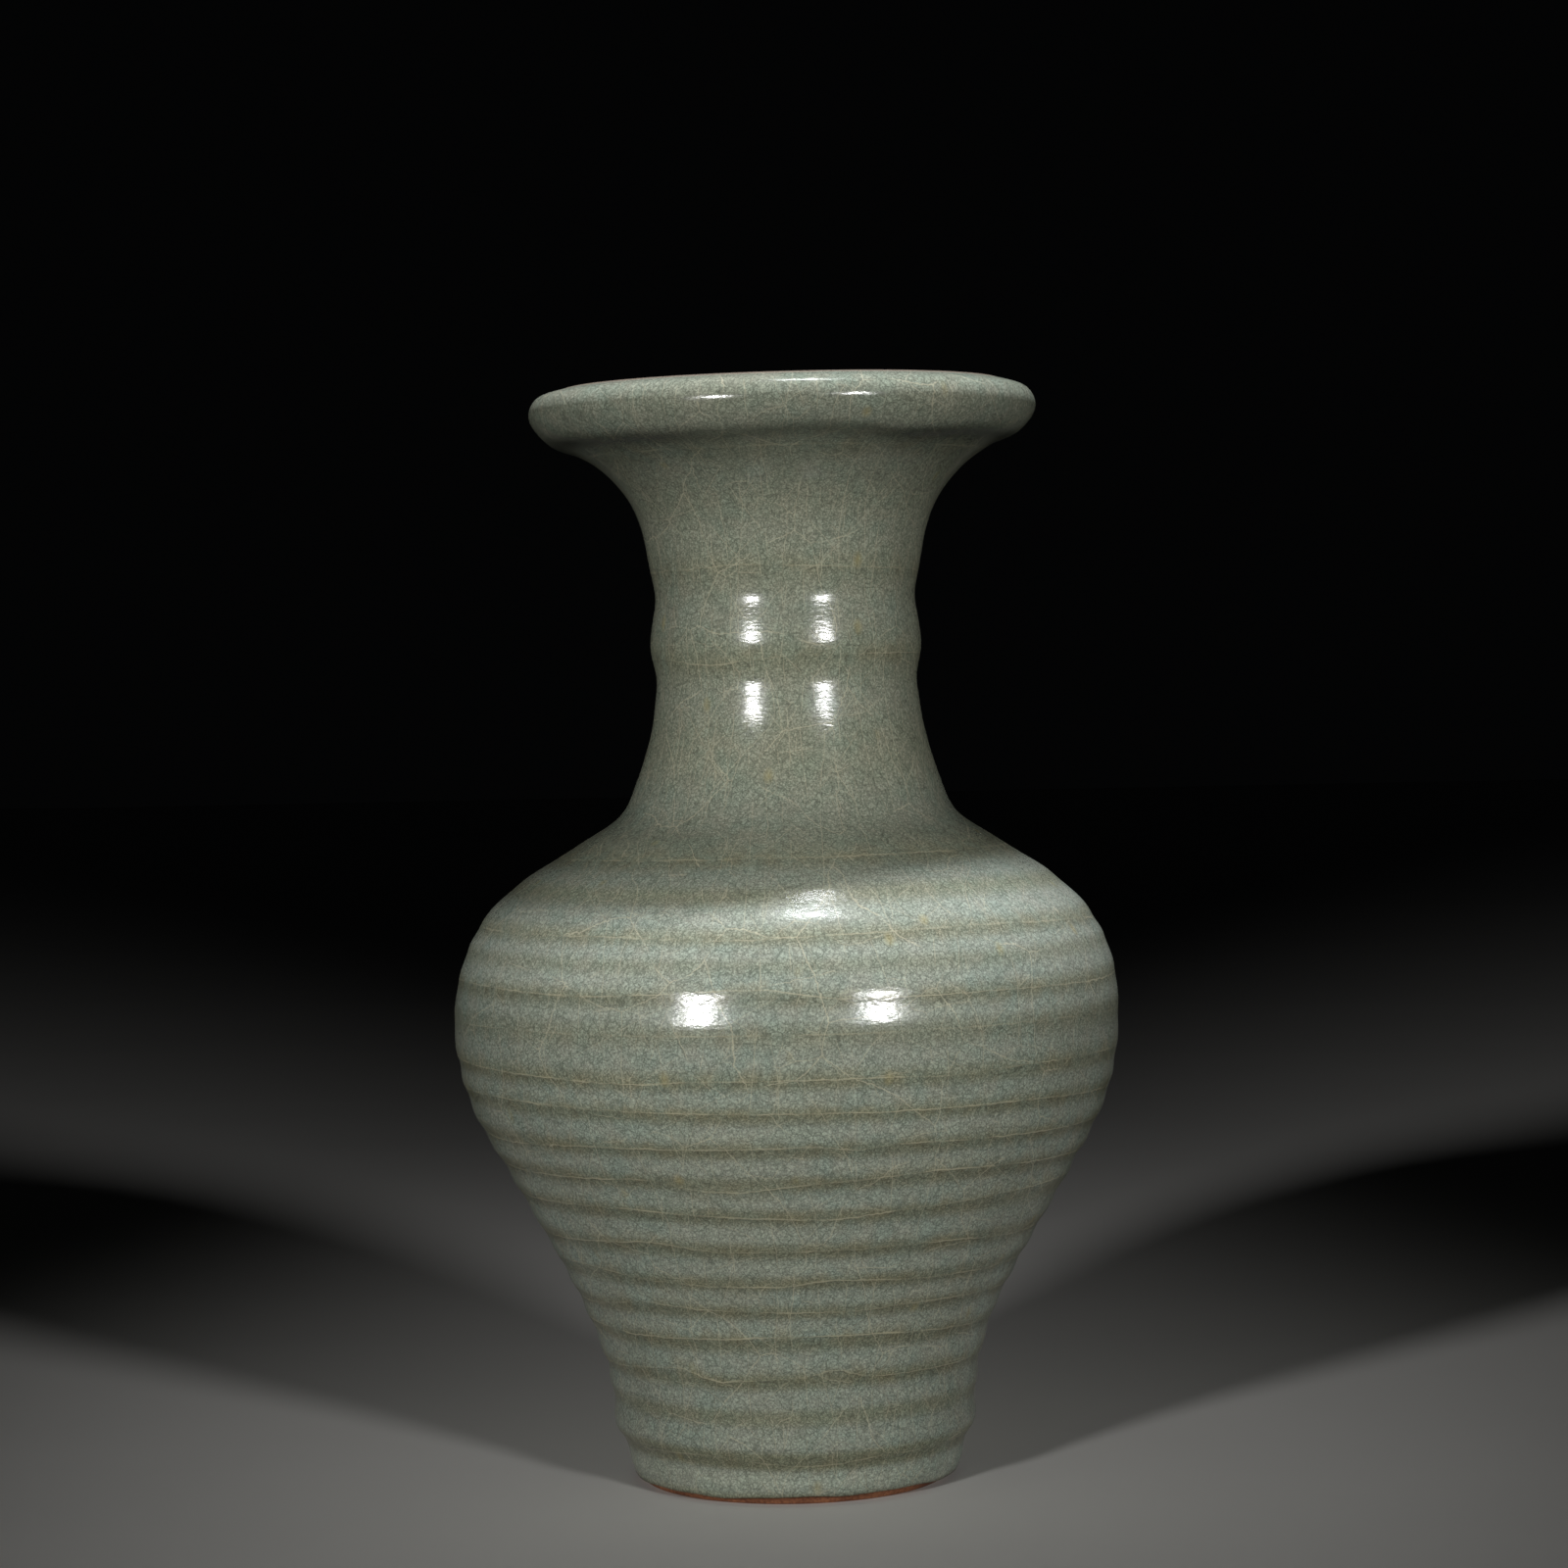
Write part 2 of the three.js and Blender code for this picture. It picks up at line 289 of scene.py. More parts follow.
def ring_place(angle, height):
    """For each point: how far the surface swells out with the throwing rings, and how much it
    turns down, from -1 to 1 on a plain ring."""
    heights, swells = np.array([(BELOW_FOOT, 0), *THROWING_RINGS, (ABOVE_LIP, 0)]).T
    waver = 0.3 * np.sin(angle + height / 17) + 0.2 * np.sin(3 * angle + height / 11)
    level = np.interp(height + waver, heights, np.arange(len(heights)))
    lower = np.clip(np.floor(level).astype(int), 0, len(heights) - 2)
    part = level - lower
    above_ring = np.sin(part / CREST_AT * math.pi / 2)
    below_ring = -np.sin((1 - part) / CREST_AT * math.pi / 2)
    between_rings = np.cos((part - CREST_AT) / (1 - 2 * CREST_AT) * math.pi)
    wave = np.where(part < CREST_AT, above_ring, np.where(part > 1 - CREST_AT, below_ring, between_rings))
    swell = swells[lower] * (1 - part) + swells[lower + 1] * part
    uneven = 1 + 0.2 * np.sin(2 * angle + 1.9 * lower) + 0.12 * np.sin(5 * angle + 0.8 * lower)
    return swell * wave * uneven, swell / PLAIN_SWELL * np.cos(math.tau * part)


def settled(points):
    """The template's points as the real pot stands, in metres: ringed, leaning and a little oval."""
    x, y, z = (points / MM).T
    radius = np.hypot(x, y)
    angle = np.arctan2(x, -y)

    # The rings swell the outside fully and the inside not at all, and fade out near the ground
    outer = np.interp(z, outside[:, 1], outside[:, 0])
    inner = np.interp(z, inside[:, 1], inside[:, 0])
    inner = np.where(z < inside[0, 1], 0, inner)
    share = np.clip((radius - inner) / np.maximum(outer - inner, 1), 0, 1)
    swell = ring_place(angle, z)[0]
    off_ground = np.clip((z - 3) / 5, 0, 1)
    oval = 0.2 * np.sin(2 * angle) + 0.12 * np.cos(3 * angle) * np.sin(z / 60)
    pushed = (swell * share - (DRAWN_IN - oval) * np.clip(radius / 30, 0, 1)) * off_ground
    radius = np.maximum(radius + pushed, 0)
    wander = np.interp(z, *zip(*CENTRE_WANDER))
    shift = wander * np.clip(z / 4, 0, 1)
    x = radius * np.sin(angle) + shift
    y = -radius * np.cos(angle)

    # The mouth dips a little to the left and the front, and the crease under the lip wavers
    lift = np.clip((z - 262) / 25, 0, 1)
    dip = 0.9 - 0.35 * np.sin(angle) + 0.2 * np.cos(2 * angle + 0.5)
    waver = 0.45 * np.sin(5 * angle + 1.2) + 0.3 * np.sin(8 * angle + 0.4)
    crease = np.exp(-((z - LIP_CREASE) / 3.5) ** 2) * np.clip((radius - 50) / 10, 0, 1)
    z = z - lift * dip * np.clip(radius / 60, 0, 1) + crease * waver

    # The glaze stops at an uneven line above the foot
    hem = 0.3 * np.sin(3 * angle + 0.7) + 0.2 * np.sin(8 * angle + 2) + 0.1 * np.sin(17 * angle)
    z = z + hem * np.exp(-((z - GLAZE_HEM) / 1.4) ** 2) * np.clip(radius - 36, 0, 1) * np.clip(z, 0, 1)
    return np.column_stack([x, y, z]) * MM


def deselect_all():
    """Leaves edit mode and selects nothing, so that the next operator acts on the new piece alone."""
    if bpy.context.object and bpy.context.object.mode != "OBJECT":
        bpy.ops.object.mode_set(mode="OBJECT")
    bpy.ops.object.select_all(action="DESELECT")


def turned(name, line, around):
    """A solid turned on the wheel: its outline is drawn point by point and spun around the axis."""
    deselect_all()
    bpy.ops.mesh.primitive_plane_add(size=MM, location=(0, 0, 0))
    piece = bpy.context.object
    piece.name = name
    piece.data.name = name
    bpy.ops.object.mode_set(mode="EDIT")
    bpy.ops.mesh.select_all(action="SELECT")
    bpy.ops.mesh.merge(type="CENTER")
    points = np.column_stack([line[:, 0] * 0, -line[:, 0], line[:, 1]]) * MM
    bpy.ops.transform.translate(value=tuple(points[0]))
    for step in np.diff(points, axis=0):
        bpy.ops.mesh.extrude_vertices_move(TRANSFORM_OT_translate={"value": tuple(step)})
    bpy.ops.mesh.select_all(action="SELECT")
    bpy.ops.mesh.spin(steps=around, angle=math.tau, center=(0, 0, 0), axis=(0, 0, 1))
    bpy.ops.mesh.select_all(action="SELECT")
    bpy.ops.mesh.remove_doubles(threshold=WELD * MM)
    bpy.ops.mesh.normals_make_consistent(inside=False)
    bpy.ops.object.mode_set(mode="OBJECT")
    bpy.ops.object.shade_smooth()
    return piece


def settle(piece):
    """Moves the piece's points to where they are on the real pot, and keeps where the golden
    lines and the rings run."""
    flat = np.empty(len(piece.data.vertices) * 3)
    piece.data.vertices.foreach_get("co", flat)
    points = flat.reshape(-1, 3)
    x, y, z = (points / MM).T
    angle = np.arctan2(x, -y)
    level, gap, clear = line_place(angle, z)
    kept = {
        "line_level": level,
        "line_gap": gap,
        "line_clear": clear,
        "facing_down": ring_place(angle, z)[1],
        "rim_distance": np.hypot(np.hypot(x, y) - CREST_RADIUS, z - HEIGHT),
    }
    for attribute, values in kept.items():
        piece.data.attributes.new(attribute, "FLOAT", "POINT").data.foreach_set("value", values)
    piece.data.vertices.foreach_set("co", settled(points).ravel())
    piece.data.update()


# The coats and the clay between them, as lines of the template
DOWN = (0, -1)
INWARD = (-1, 0)
fine_outside = spaced(outside, FINE_STEP)
back_outside = moved_aside(spaced(outside, BACK_STEP), GLAZE, INWARD, DOWN)
clay_outside = moved_aside(spaced(outside, HIDDEN_STEP), GLAZE + CLAY_GAP, INWARD, DOWN)
fine_inside = spaced(inside, INSIDE_STEP)
back_inside = moved_aside(spaced(inside, BACK_STEP), -GLAZE, DOWN, DOWN)
clay_inside = moved_aside(spaced(inside, HIDDEN_STEP), -GLAZE - CLAY_GAP, DOWN, DOWN)


def section(low, high):
    """A thrown section of the wall between two seams, each a height outside and one inside."""
    up = between_heights(clay_outside, low[0], high[0])
    down = between_heights(clay_inside, low[1], high[1])[::-1]
    return closed(up, down)


def edge_of(seam, side):
    """The upper edge of a seam's slip where side is 1, and its lower edge where side is -1."""
    return tuple(height + side * SLIP / 2 for height in seam)


def slip_in(seam):
    """The fired slip that fills a seam."""
    return section(edge_of(seam, -1), edge_of(seam, 1))


def ring_inside(height):
    """The point on the sloping inner side of the foot ring at a height."""
    part = height / FOOT_RING_TOP
    return (GROUND_INNER + (FOOT_ROOT - GROUND_INNER) * part, height)


def foot_outline():
    """The bare foot ring, rounded where it meets the ground outside and bevelled inside."""
    middle = (GROUND_INNER + GROUND_OUTER) / 2
    ground = [(GROUND_INNER + INNER_BEVEL_WIDTH, 0), (middle, 0), (GROUND_OUTER - GROUND_ROUNDING, 0),
              (GROUND_OUTER - GROUND_ROUNDING / 3, GROUND_ROUNDING / 3), (GROUND_OUTER, GROUND_ROUNDING)]
    outer = between_heights(clay_outside, CLAY_BARE_BELOW, FOOT_RING_TOP)
    inner = [ring_inside(height) for height in (FOOT_RING_TOP, 5, RECESS_GLAZE_LINE, INNER_BEVEL_HEIGHT)]
    return closed(spaced_corners(closed(ground, outer, inner), FOOT_STEP))


def foot_slip_outline():
    """The slip between the foot ring and the body."""
    outer = between_heights(clay_outside, FOOT_RING_TOP, FLOOR_UNDERSIDE)
    return closed([(FOOT_ROOT, FOOT_RING_TOP)], outer, [(FOOT_ROOT, FLOOR_UNDERSIDE)])


def base_glaze_outline():
    """The coat in the recess, with points along its flat roof that keep its facets short."""
    edge = ring_inside(RECESS_GLAZE_LINE)
    corner = ring_inside(FOOT_RING_TOP)
    roof = [(radius, RECESS_ROOF) for radius in (0, 6, 14, 22, 28, corner[0] - 3 * GLAZE)]
    bend = [(corner[0] - 1.6 * GLAZE, RECESS_ROOF - 0.5), (corner[0] - GLAZE, RECESS_ROOF - 1.8)]
    hem = [(edge[0] - GLAZE, edge[1] + 0.6), (edge[0] - 0.5 * GLAZE, edge[1]), edge]
    back = [corner, (FOOT_ROOT, FLOOR_UNDERSIDE), (RECESS_MIDWAY, FLOOR_UNDERSIDE), (0, FLOOR_UNDERSIDE)]
    return np.array([*roof, *bend, *hem, *back])


def lower_body_outline():
    """The lower half of the body, thrown in one with the floor."""
    underside = [(radius, FLOOR_UNDERSIDE) for radius in (0, RECESS_MIDWAY, FOOT_ROOT)]
    top_outside, top_inside = edge_of(BELLY_SEAM, -1)
    up = between_heights(clay_outside, FLOOR_UNDERSIDE, top_outside)
    return closed(underside, up, below(clay_inside, top_inside)[::-1])


def mouth_outline():
    """The dish mouth, from the top of the neck around the lip."""
    low_outside, low_inside = edge_of(MOUTH_SEAM, 1)
    return closed(above(clay_outside, low_outside), above(clay_inside, low_inside)[::-1])


outer_coat = turned("outer_coat", closed(fine_outside, back_outside[::-1]), FINE_AROUND)
inner_coat = turned("inner_coat", closed(back_inside, fine_inside[::-1]), FINE_AROUND // 2)
base_coat = turned("base_coat", base_glaze_outline(), FINE_AROUND // 2)
bare_foot = turned("bare_foot", foot_outline(), FINE_AROUND)
lower_clay = turned("lower_clay", lower_body_outline(), HIDDEN_AROUND)
upper_clay = turned("upper_clay", section(edge_of(BELLY_SEAM, 1), edge_of(SHOULDER_SEAM, -1)), HIDDEN_AROUND)
neck_clay = turned("neck_clay", section(edge_of(SHOULDER_SEAM, 1), edge_of(MOUTH_SEAM, -1)), HIDDEN_AROUND)
mouth_clay = turned("mouth_clay", mouth_outline(), HIDDEN_AROUND)
foot_seam = turned("foot_seam", foot_slip_outline(), HIDDEN_AROUND)
belly_seam = turned("belly_seam", slip_in(BELLY_SEAM), HIDDEN_AROUND)
shoulder_seam = turned("shoulder_seam", slip_in(SHOULDER_SEAM), HIDDEN_AROUND)
mouth_seam = turned("mouth_seam", slip_in(MOUTH_SEAM), HIDDEN_AROUND)


# The finishes

# The glaze's greens, the dark of its fine web, and the tints that it is multiplied by in places
GREY_GREEN = "#888F80"
BLUE_GREEN = "#859083"
PALE_GREEN = "#8C9082"
WEB_GREY = "#4F534A"
OLIVE_AND_SHADE_TINT = "#F4F2ED"
WARM_TINT = "#F6F0DF"
BROWN_TINT = "#F2EBDA"

# The iron-stained cracks and spots, and the clay where the glaze is thin
LINE_GOLD = "#B4AE92"
HAIR_GOLD = "#B9B398"
STAIN_GOLD = "#A09058"
CLAY_THROUGH_GLAZE = "#998271"

# Sizes of the patterns in the glaze and the clay, in millimetres
CLOUD_SIZE = 30
MOTTLE_SIZE = 6
STREAK_SIZE = 1.1
FLECK_SIZE = 0.4
WOBBLE_SIZE = 1.6
WEB_CELL = 3.2
JAG_SIZE = 3.5
PATCH_SIZE = 12
CURL_SIZE = 25
STAIN_SPACING = 15
PEEL_SIZE = 9
CLAY_PATCH = 9

# The hairline cracks that run up the vase: how many around it, how many turns of them a crack leans
# over in a millimetre of height, a seed, its width in millimetres, and how clear it is
HAIRLINES = (
    (46, 0.001, 3.1, 0.17, 0.4),
    (38, 0.014, 40.7, 0.17, 0.34),
    (31, -0.02, 90.3, 0.17, 0.34),
    (17, 0.06, 17.9, 0.24, 0.33),
    (19, -0.07, 63.4, 0.24, 0.33),
)

# The wide net of cracks: its cells' size in millimetres, how far it is moved along, its lines' width
# in millimetres, how clear they are, and from where on their own patches of it show
CRACK_NETS = (
    (27, 0, 0.18, 0.52, 0.38),
    (14, 400, 0.15, 0.42, 0.45),
)

# The creases where painted shade darkens the glaze most: their heights, how far from them it is still fully
# dark and
# # no longer dark, in millimetres, and the share of light that is left
SHADE_PAINTED_IN_CREASES = ((181.0, 4.0, 15.0, 0.85), (283.2, 0.5, 3.0, 0.62))


def linear(hex_colour):
    """The linear colour of an sRGB hex value."""
    rgb = []
    for start in (1, 3, 5):
        value = int(hex_colour[start:start + 2], 16) / 255
        rgb.append(value / 12.92 if value <= 0.04045 else ((value + 0.055) / 1.055) ** 2.4)
    return (*rgb, 1)


def add_node(tree, kind, inputs=None, **settings):
    """Adds a shader node with its settings. An input is a value or another node's output."""
    new = tree.nodes.new("ShaderNode" + kind)
    for name, value in settings.items():
        setattr(new, name, value)
    for socket, value in (inputs or {}).items():
        if isinstance(value, bpy.types.NodeSocket):
            tree.links.new(value, new.inputs[socket])
        else:
            new.inputs[socket].default_value = value
    return new


def new_material(name):
    """A new material with its node tree and its shader."""
    material = bpy.data.materials.new(name)
    material.use_nodes = True
    tree = material.node_tree
    shader = tree.nodes["Principled BSDF"]
    return material, tree, shader


def clouded_green(tree, mm, mottle):
    """The glaze's own green, clouded over 30 mm and mottled over 6 mm, and how mottled it is."""
    cloud = add_node(tree, "TexNoise", {"Vector": mm, "Scale": 1 / CLOUD_SIZE, "Detail": 3.0})
    cloudy = add_node(tree, "MapRange", {0: cloud.outputs[0], 1: 0.4, 2: 0.6}).outputs[0]
    mottled = add_node(tree, "MapRange", {0: mottle, 1: 0.35, 2: 0.65}).outputs[0]
    green = add_node(tree, "Mix", {0: cloudy, 6: linear(GREY_GREEN), 7: linear(BLUE_GREEN)},
                     data_type="RGBA").outputs[2]
    green = add_node(tree, "Mix", {0: mottled, 6: green, 7: linear(PALE_GREEN)},
                     data_type="RGBA").outputs[2]
    return green, mottled


def grained(tree, mm, colour):
    """The grain: winding dark streaks and pale flecks, all about a millimetre wide or less."""
    winding = add_node(tree, "TexNoise", {"Vector": mm, "Scale": 1 / STREAK_SIZE, "Detail": 2.5})
    streak = add_node(tree, "Math", {0: winding.outputs[0], 1: 0.5}, operation="SUBTRACT").outputs[0]
    streak = add_node(tree, "Math", {0: streak}, operation="ABSOLUTE").outputs[0]
    streak = add_node(tree, "MapRange", {0: streak, 1: 0.0, 2: 0.12, 3: 0.7, 4: 1.14}).outputs[0]
    fine = add_node(tree, "TexNoise", {"Vector": mm, "Scale": 1 / FLECK_SIZE, "Detail": 1.5})
    fleck = add_node(tree, "MapRange", {0: fine.outputs[0], 1: 0.3, 2: 0.7, 3: 0.7, 4: 1.3}).outputs[0]
    grain = add_node(tree, "Math", {0: streak, 1: fleck}, operation="MULTIPLY").outputs[0]
    colour = add_node(tree, "VectorMath", {0: colour, 3: grain}, operation="SCALE").outputs[0]
    return colour, fleck


def crazed(tree, mm, colour, mottle, wobble):
    """The fine web of crazing: thin dark lines that come and go. The real cells are under 2 mm
    across, too fine to show, so they are drawn at 3 mm."""
    bent = add_node(tree, "VectorMath", {0: wobble, 3: 1.0}, operation="SCALE").outputs[0]
    bent = add_node(tree, "VectorMath", {0: mm, 1: bent}, operation="ADD").outputs[0]
    cells = add_node(tree, "TexVoronoi", {"Vector": bent, "Scale": 1 / WEB_CELL},
                     feature="DISTANCE_TO_EDGE").outputs[0]
    thread = add_node(tree, "MapRange", {0: cells, 1: 0.012, 2: 0.06, 3: 1.0, 4: 0.0}).outputs[0]
    patchy = add_node(tree, "MapRange", {0: mottle, 1: 0.35, 2: 0.65, 3: 0.5, 4: 0.25}).outputs[0]
    thread = add_node(tree, "Math", {0: thread, 1: patchy}, operation="MULTIPLY").outputs[0]
    return add_node(tree, "Mix", {0: thread, 6: colour, 7: linear(WEB_GREY)},
                    data_type="RGBA").outputs[2]


def olive_tint_and_painted_shade(tree, height, colour):
    """The glaze is darker and more olive above the shoulder: partly its own tint, partly painted shade where
    the mouth shades the neck.
    """
    olive = add_node(tree, "MapRange", {0: height, 1: 160.0, 2: 195.0, 3: 0.0, 4: 1.0}).outputs[0]
    return add_node(tree, "Mix", {0: olive, 6: colour, 7: linear(OLIVE_AND_SHADE_TINT)},
                    data_type="RGBA", blend_type="MULTIPLY").outputs[2]


def painted_ring_shade(tree, height, colour):
    """Painted shade: the glaze is darker where a ring's surface faces down, lighter where it faces up,
    and a little warmer where it faces down. It is paler on the rounded edge above the foot: painted light."""
    down = add_node(tree, "Attribute", attribute_name="facing_down").outputs["Fac"]
    # Painted shade: darker where the surface faces down, lighter where it faces up
    thick = add_node(tree, "Math", {0: down, 1: -0.08, 2: 1.0}, operation="MULTIPLY_ADD").outputs[0]
    colour = add_node(tree, "VectorMath", {0: colour, 3: thick}, operation="SCALE").outputs[0]
    warm = add_node(tree, "MapRange", {0: down, 1: -0.3, 2: 1.2}).outputs[0]
    colour = add_node(tree, "Mix", {0: warm, 6: colour, 7: linear(WARM_TINT)},
                      data_type="RGBA", blend_type="MULTIPLY").outputs[2]
    # Painted light: paler on the rounded edge above the foot, which faces up
    roll = add_node(tree, "MapRange", {0: height, 1: 8.0, 2: 11.0, 3: 1.15, 4: 1.0}).outputs[0]
    return add_node(tree, "VectorMath", {0: colour, 3: roll}, operation="SCALE").outputs[0]


def golden_lines_and_painted_shadow(tree, colour, mottled, jag, coming):
    """Golden cracks along the rings, clear in some places and gone in others. The glaze is browner
    beside each of them, and a painted shadow darkens it just under each."""
    level = add_node(tree, "Attribute", attribute_name="line_level").outputs["Fac"]
    gap = add_node(tree, "Attribute", attribute_name="line_gap").outputs["Fac"]
    clear = add_node(tree, "Attribute", attribute_name="line_clear").outputs["Fac"]

    # Millimetres above the nearest line, which is jagged
    near = add_node(tree, "Math", {0: level, 1: 0.5}, operation="ADD").outputs[0]
    near = add_node(tree, "Math", {0: near}, operation="FRACT").outputs[0]
    near = add_node(tree, "Math", {0: near, 1: 0.5}, operation="SUBTRACT").outputs[0]
    side = add_node(tree, "Math", {0: near, 1: gap}, operation="MULTIPLY").outputs[0]
    side = add_node(tree, "Math", {0: jag, 1: 0.9, 2: side}, operation="MULTIPLY_ADD").outputs[0]
    distance = add_node(tree, "Math", {0: side}, operation="ABSOLUTE").outputs[0]

    brown = add_node(tree, "MapRange", {0: distance, 1: 0.5, 2: 4.0, 3: 0.8, 4: 0.0}).outputs[0]
    brown = add_node(tree, "Math", {0: brown, 1: clear}, operation="MULTIPLY").outputs[0]
    brown = add_node(tree, "Math", {0: brown, 1: mottled}, operation="MULTIPLY").outputs[0]
    colour = add_node(tree, "Mix", {0: brown, 6: colour, 7: linear(BROWN_TINT)},
                      data_type="RGBA", blend_type="MULTIPLY").outputs[2]

    # Painted shadow: the glaze is darkened for up to 4 mm under each line
    under = add_node(tree, "MapRange", {0: side, 1: -4.0, 2: -0.3, 3: 0.0, 4: 1.0}).outputs[0]
    over = add_node(tree, "MapRange", {0: side, 1: -0.3, 2: 0.2, 3: 1.0, 4: 0.0}).outputs[0]
    under = add_node(tree, "Math", {0: under, 1: over}, operation="MULTIPLY").outputs[0]
    under = add_node(tree, "Math", {0: under, 1: clear}, operation="MULTIPLY").outputs[0]
    under = add_node(tree, "Math", {0: under, 1: -0.17, 2: 1.0}, operation="MULTIPLY_ADD").outputs[0]
    colour = add_node(tree, "VectorMath", {0: colour, 3: under}, operation="SCALE").outputs[0]

    shown = add_node(tree, "MapRange", {0: coming, 1: 0.4, 2: 0.6, 3: 0.12, 4: 0.8}).outputs[0]
    line = add_node(tree, "MapRange", {0: distance, 1: 0.06, 2: 0.26, 3: 0.85, 4: 0.0}).outputs[0]
    line = add_node(tree, "Math", {0: line, 1: clear}, operation="MULTIPLY").outputs[0]
    gold = add_node(tree, "Math", {0: line, 1: shown}, operation="MULTIPLY").outputs[0]
    return add_node(tree, "Mix", {0: gold, 6: colour, 7: linear(LINE_GOLD)},
                    data_type="RGBA").outputs[2]


def upright_cracks(tree, angle, height, radius, jag, count, lean, seed):
    """Hairline cracks that run nearly upright, so many of them around the vase. Each strays and
    breaks off on its own. Gives the distance to the nearest one in millimetres, and how clear it is."""
    turns = add_node(tree, "Math", {0: angle, 1: count / math.tau}, operation="MULTIPLY")
    leaned = add_node(tree, "Math", {0: height, 1: lean, 2: turns.outputs[0]},
                      operation="MULTIPLY_ADD").outputs[0]
    number = add_node(tree, "Math", {0: leaned}, operation="FLOOR").outputs[0]
    number = add_node(tree, "Math", {0: number, 1: count}, operation="FLOORED_MODULO").outputs[0]
    within = add_node(tree, "Math", {0: leaned}, operation="FRACT").outputs[0]

    # It strays over 60 mm of height, on a track of its own
    own = add_node(tree, "Math", {0: number, 1: 7.3, 2: seed}, operation="MULTIPLY_ADD").outputs[0]
    track = add_node(tree, "CombineXYZ", {0: own, 1: height}).outputs[0]
    slow = add_node(tree, "VectorMath", {0: track, 1: (1, 1 / 60, 1)}, operation="MULTIPLY")
    stray = add_node(tree, "TexNoise", {"Vector": slow.outputs[0], "Scale": 1.0, "Detail": 2.0},
                     noise_dimensions="2D").outputs[0]
    centre = add_node(tree, "MapRange", {0: stray, 1: 0.25, 2: 0.75, 3: 0.2, 4: 0.8}).outputs[0]
    apart = add_node(tree, "Math", {0: within, 1: centre}, operation="SUBTRACT").outputs[0]
    apart = add_node(tree, "Math", {0: apart, 1: radius}, operation="MULTIPLY").outputs[0]
    apart = add_node(tree, "Math", {0: apart, 1: math.tau / count, 2: jag},
                     operation="MULTIPLY_ADD").outputs[0]
    distance = add_node(tree, "Math", {0: apart}, operation="ABSOLUTE").outputs[0]

    # It breaks off over 13 mm of height
    quick = add_node(tree, "VectorMath", {0: track, 1: (1, 1 / 13, 1)}, operation="MULTIPLY")
    aside = add_node(tree, "VectorMath", {0: quick.outputs[0], 1: (31.7, 5.1, 0)}, operation="ADD")
    breaks = add_node(tree, "TexNoise", {"Vector": aside.outputs[0], "Scale": 1.0, "Detail": 1.0},
                      noise_dimensions="2D").outputs[0]
    clear = add_node(tree, "MapRange", {0: breaks, 1: 0.5, 2: 0.62}).outputs[0]
    return distance, clear


def net_of_cracks(tree, angle, height, radius, wander, mask, size, moved, width, strength, least):
    """Cracks in all directions around cells of one size. The net is laid flat around the vase twice,
    from the front and from the back, and each fades out where its ends would meet."""
    front = add_node(tree, "Math", {0: angle}, operation="COSINE").outputs[0]
    front = add_node(tree, "MapRange", {0: front, 1: -0.15, 2: 0.15}).outputs[0]
    from_back = add_node(tree, "Math", {0: angle, 1: math.tau}, operation="FLOORED_MODULO").outputs[0]
    lines = []
    for side, offset in ((angle, moved), (from_back, moved + 900)):
        along = add_node(tree, "Math", {0: side, 1: radius, 2: float(offset)},
                         operation="MULTIPLY_ADD").outputs[0]
        flat = add_node(tree, "CombineXYZ", {0: along, 1: height}).outputs[0]
        flat = add_node(tree, "VectorMath", {0: flat, 1: wander}, operation="ADD").outputs[0]
        edge = add_node(tree, "TexVoronoi", {"Vector": flat, "Scale": 1 / size},
                        voronoi_dimensions="2D", feature="DISTANCE_TO_EDGE").outputs[0]
        line = add_node(tree, "MapRange",
                        {0: edge, 1: width / size / 4, 2: width / size, 3: strength, 4: 0.0})
        lines.append(line.outputs[0])
    net = add_node(tree, "Mix", {0: front, 2: lines[1], 3: lines[0]}, data_type="FLOAT").outputs[0]
    clear = add_node(tree, "MapRange", {0: mask, 1: least, 2: least + 0.12}).outputs[0]
    return add_node(tree, "Math", {0: net, 1: clear}, operation="MULTIPLY").outputs[0]


def hairlined(tree, mm, part, colour, wobble, jag, coming):
    """Pale hairlines that run up the vase, and a wide net of them across it."""
    height = part.outputs[2]
    around = add_node(tree, "Math", {0: part.outputs[1], 1: -1.0}, operation="MULTIPLY").outputs[0]
    around = add_node(tree, "Math", {0: part.outputs[0], 1: around}, operation="ARCTAN2").outputs[0]
    flat = add_node(tree, "VectorMath", {0: mm, 1: (1.0, 1.0, 0.0)}, operation="MULTIPLY")
    radius = add_node(tree, "VectorMath", {0: flat.outputs[0]}, operation="LENGTH").outputs["Value"]
    hair = None
    for count, lean, seed, width, strength in HAIRLINES:
        reach, lasting = upright_cracks(tree, around, height, radius, jag, count, lean, seed)
        line = add_node(tree, "MapRange", {0: reach, 1: width / 4, 2: width, 3: strength, 4: 0.0})
        line = add_node(tree, "Math", {0: line.outputs[0], 1: lasting},
                        operation="MULTIPLY").outputs[0]
        if hair is None:
            hair = line
        else:
            hair = add_node(tree, "Math", {0: hair, 1: line}, operation="MAXIMUM").outputs[0]
    curl = add_node(tree, "TexNoise", {"Vector": mm, "Scale": 1 / CURL_SIZE, "Detail": 1.0}).outputs[1]
    wander = add_node(tree, "VectorMath", {0: curl, 3: 14.0}, operation="SCALE").outputs[0]
    shake = add_node(tree, "VectorMath", {0: wobble, 3: 1.0}, operation="SCALE").outputs[0]
    wander = add_node(tree, "VectorMath", {0: wander, 1: shake}, operation="ADD").outputs[0]
    for crack_net in CRACK_NETS:
        net = net_of_cracks(tree, around, height, radius, wander, coming, *crack_net)
        hair = add_node(tree, "Math", {0: hair, 1: net}, operation="MAXIMUM").outputs[0]
    return add_node(tree, "Mix", {0: hair, 6: colour, 7: linear(HAIR_GOLD)},
                    data_type="RGBA").outputs[2]


